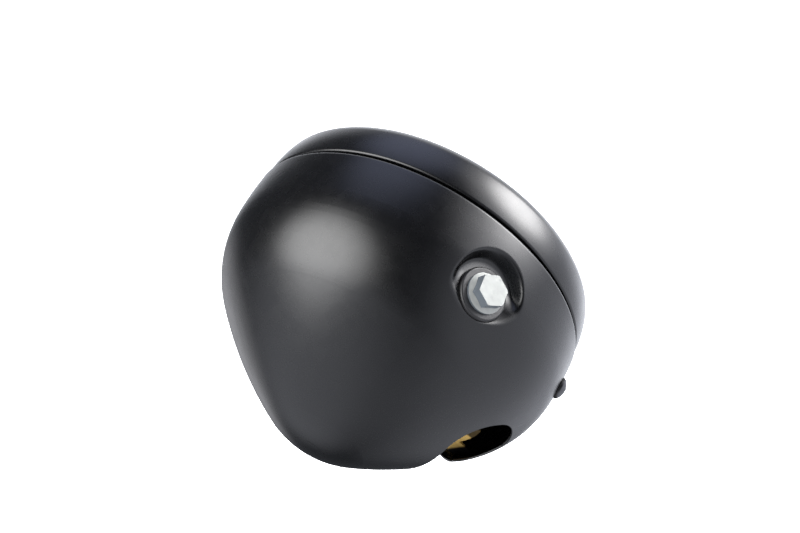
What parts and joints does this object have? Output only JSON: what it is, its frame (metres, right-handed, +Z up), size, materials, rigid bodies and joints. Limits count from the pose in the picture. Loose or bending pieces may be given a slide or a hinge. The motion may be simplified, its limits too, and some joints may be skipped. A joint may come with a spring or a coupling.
{
  "type": "round motorcycle headlight",
  "caption": "Round side-mounted motorcycle headlight: a drawn black bucket with pressed bolt pads and a cable opening, a rolled rim, a fluted lens and a bulb unit.",
  "frame": {"origin": "midway between the two side bolts, on their common axis, about which the lamp is aimed", "axes": "-Y out of the lens, +Z up as fitted, +X to the machine's left along the side bolts' axis"},
  "size_m": [0.1858, 0.1337, 0.1832],
  "materials": {
    "bucket_paint": "satin black stoved paint",
    "rim_paint": "satin black stoved paint",
    "collar_black": "black moulded nylon",
    "zinc": "bright zinc plate",
    "dark_screw": "dark zinc plate",
    "yellow_passivate": "yellow passivated zinc plate",
    "rubber": "black rubber",
    "lens_glass": "clear pressed glass",
    "bulb_glass": "clear quartz glass",
    "reflector_metal": "aluminised inside, bare outside",
    "bulb_metal": "bright plated steel",
    "blade_brass": "tinned brass"
  },
  "bodies": {
    "root": {"bucket": "bucket_paint", "rim": "rim_paint", "rim_hook": "rim_paint", "rim_tab_left": "rim_paint", "rim_tab_right": "rim_paint", "rim_screw_left": "dark_screw", "rim_screw_right": "dark_screw", "rim_washer_left": "rubber", "rim_washer_right": "rubber", "rim_nut_left": "yellow_passivate", "rim_nut_right": "yellow_passivate", "lens": "lens_glass", "lens_seal": "rubber", "reflector": "reflector_metal", "unit_clips": "yellow_passivate", "bulb_base": "bulb_metal", "bulb_glass": "bulb_glass", "bulb_filaments": "bulb_metal", "bulb_contacts": "blade_brass", "bulb_spring": "bulb_metal", "bulb_boot": "rubber", "harness_clip": "yellow_passivate", "mount_bolt_left": "zinc", "mount_bolt_right": "zinc", "mount_collar_left": "collar_black", "mount_collar_right": "collar_black", "mount_nut_left": "zinc", "mount_nut_right": "zinc"}
  },
  "joints": []
}
